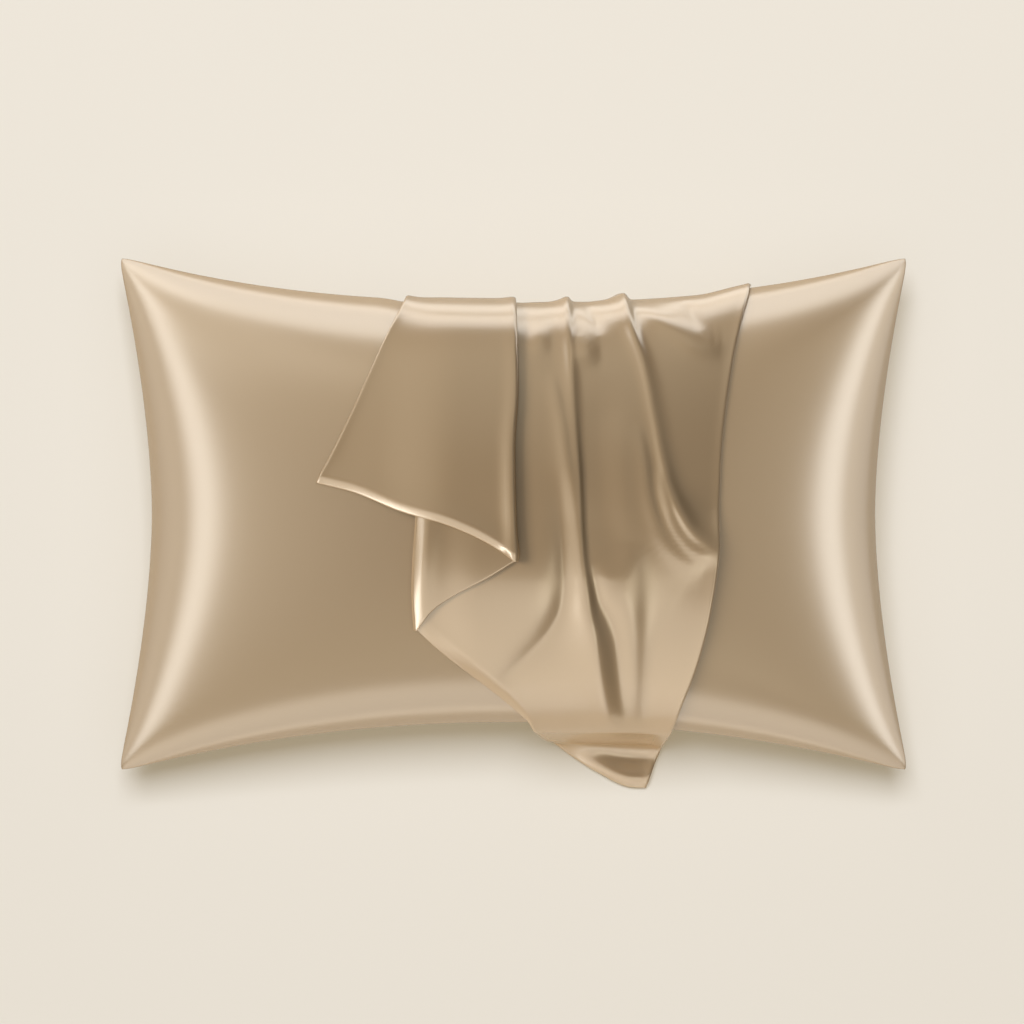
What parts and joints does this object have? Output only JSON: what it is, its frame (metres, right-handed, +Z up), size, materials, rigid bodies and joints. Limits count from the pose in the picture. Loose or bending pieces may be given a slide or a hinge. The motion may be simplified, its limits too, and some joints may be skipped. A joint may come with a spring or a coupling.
{
  "type": "pillowcase draped over a pillow",
  "caption": "Satin pillowcase folded back on itself over the long edge of a plump pillow in a matching case, its corner hanging off the front.",
  "frame": {"origin": "middle of the flat patch that the pillow rests on", "axes": "+X along the pillow's length, +Y across it towards the edge that the case is draped over, +Z up from the surface"},
  "size_m": [0.7082, 0.4865, 0.1598],
  "materials": {
    "pillow_satin": "champagne gold satin, soft sheen",
    "draped_satin": "champagne gold satin, soft sheen"
  },
  "bodies": {
    "root": {"pillow_in_case": "pillow_satin", "draped_case": "draped_satin"}
  },
  "joints": []
}
